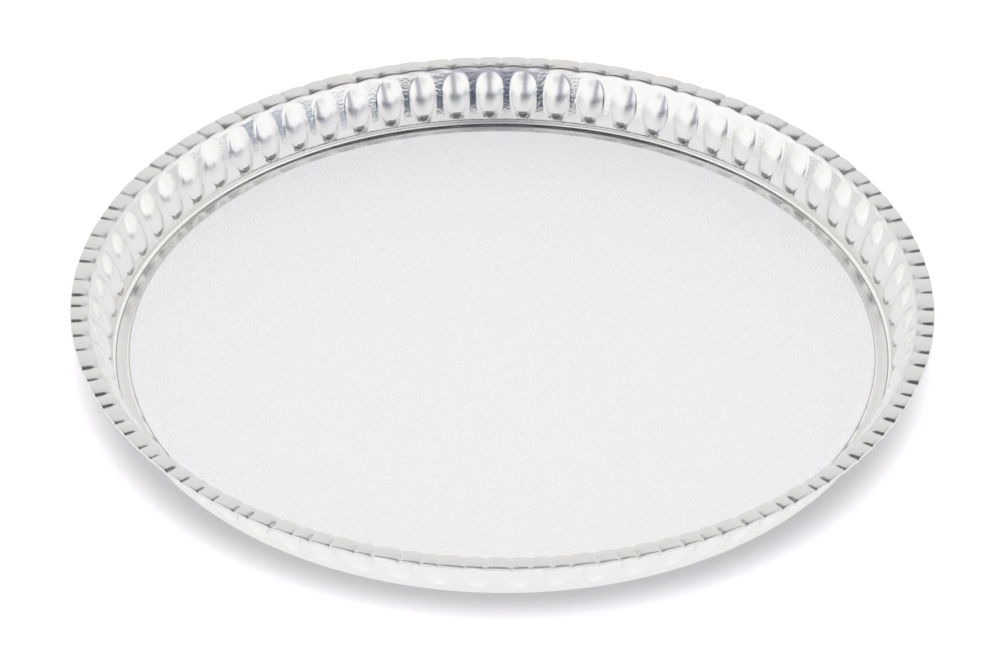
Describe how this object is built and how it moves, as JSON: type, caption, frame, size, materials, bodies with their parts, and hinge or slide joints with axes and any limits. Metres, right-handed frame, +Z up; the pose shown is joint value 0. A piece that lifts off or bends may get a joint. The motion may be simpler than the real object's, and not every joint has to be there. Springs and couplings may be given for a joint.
{
  "type": "disposable aluminium tray",
  "caption": "Round shallow serving tray pressed from one disc of thin foil, with an embossed floor, a wall of oval bosses and a crimped rim.",
  "frame": {"origin": "centre of the circle that the tray rests on, in the plane of the surface under it", "axes": "+Z up through the open top, -Y towards the side nearest the viewer in the picture"},
  "size_m": [0.3002, 0.3002, 0.0226],
  "materials": {
    "foil": "bright foil, satin on the rim, finely embossed on the floor"
  },
  "bodies": {
    "root": {"tray": "foil"}
  },
  "joints": []
}
